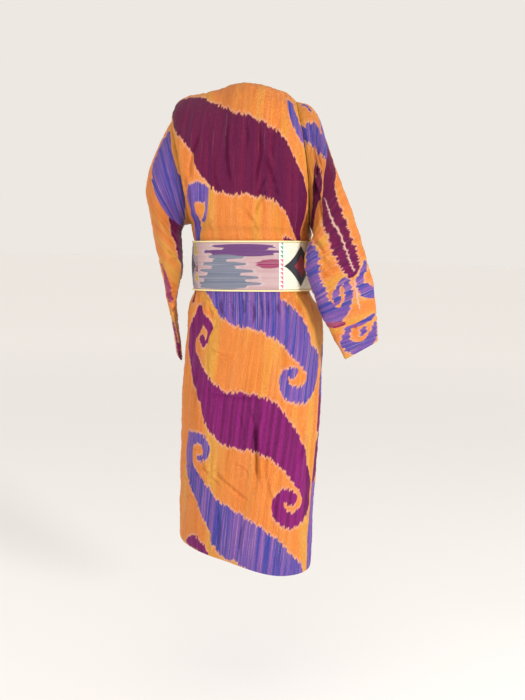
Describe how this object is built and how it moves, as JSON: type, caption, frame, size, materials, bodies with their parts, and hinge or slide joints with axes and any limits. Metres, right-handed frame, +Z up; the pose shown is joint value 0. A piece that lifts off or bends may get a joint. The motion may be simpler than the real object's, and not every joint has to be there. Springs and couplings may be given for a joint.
{
  "type": "robe",
  "caption": "Long belted robe of ikat silk, worn form, with cut sleeves, crossed fronts and a wide sewn belt with piping and applique.",
  "frame": {"origin": "between the shoulders, on the wearer's middle line, at the height where the neck point of the shoulder carries the robe", "axes": "+Z up, +X to the wearer's left, +Y to the wearer's back"},
  "size_m": [0.602, 0.2658, 1.2112],
  "materials": {
    "ikat_silk": "satin",
    "belt_ikat": "matte",
    "belt_ivory": "matte",
    "piping_cream": "satin",
    "applique_black": "matte",
    "applique_red": "matte"
  },
  "bodies": {
    "root": {"back_centre": "ikat_silk", "back_side_left": "ikat_silk", "back_side_right": "ikat_silk", "front_left": "ikat_silk", "front_right": "ikat_silk", "sleeve_left_upper": "ikat_silk", "sleeve_left_lower": "ikat_silk", "sleeve_left_end": "ikat_silk", "sleeve_right_upper": "ikat_silk", "sleeve_right_lower": "ikat_silk", "sleeve_right_end": "ikat_silk", "belt_back": "belt_ikat", "belt_front_left": "belt_ikat", "belt_front_right": "belt_ikat", "belt_side_left": "belt_ivory", "belt_side_right": "belt_ivory", "belt_strip": "belt_ivory", "belt_piping_top": "piping_cream", "belt_piping_foot": "piping_cream", "diamond_left": "applique_black", "diamond_right": "applique_black", "diamond_right_2": "applique_black", "patch_left": "applique_red", "patch_right": "applique_red", "patch_right_2": "applique_red"}
  },
  "joints": []
}
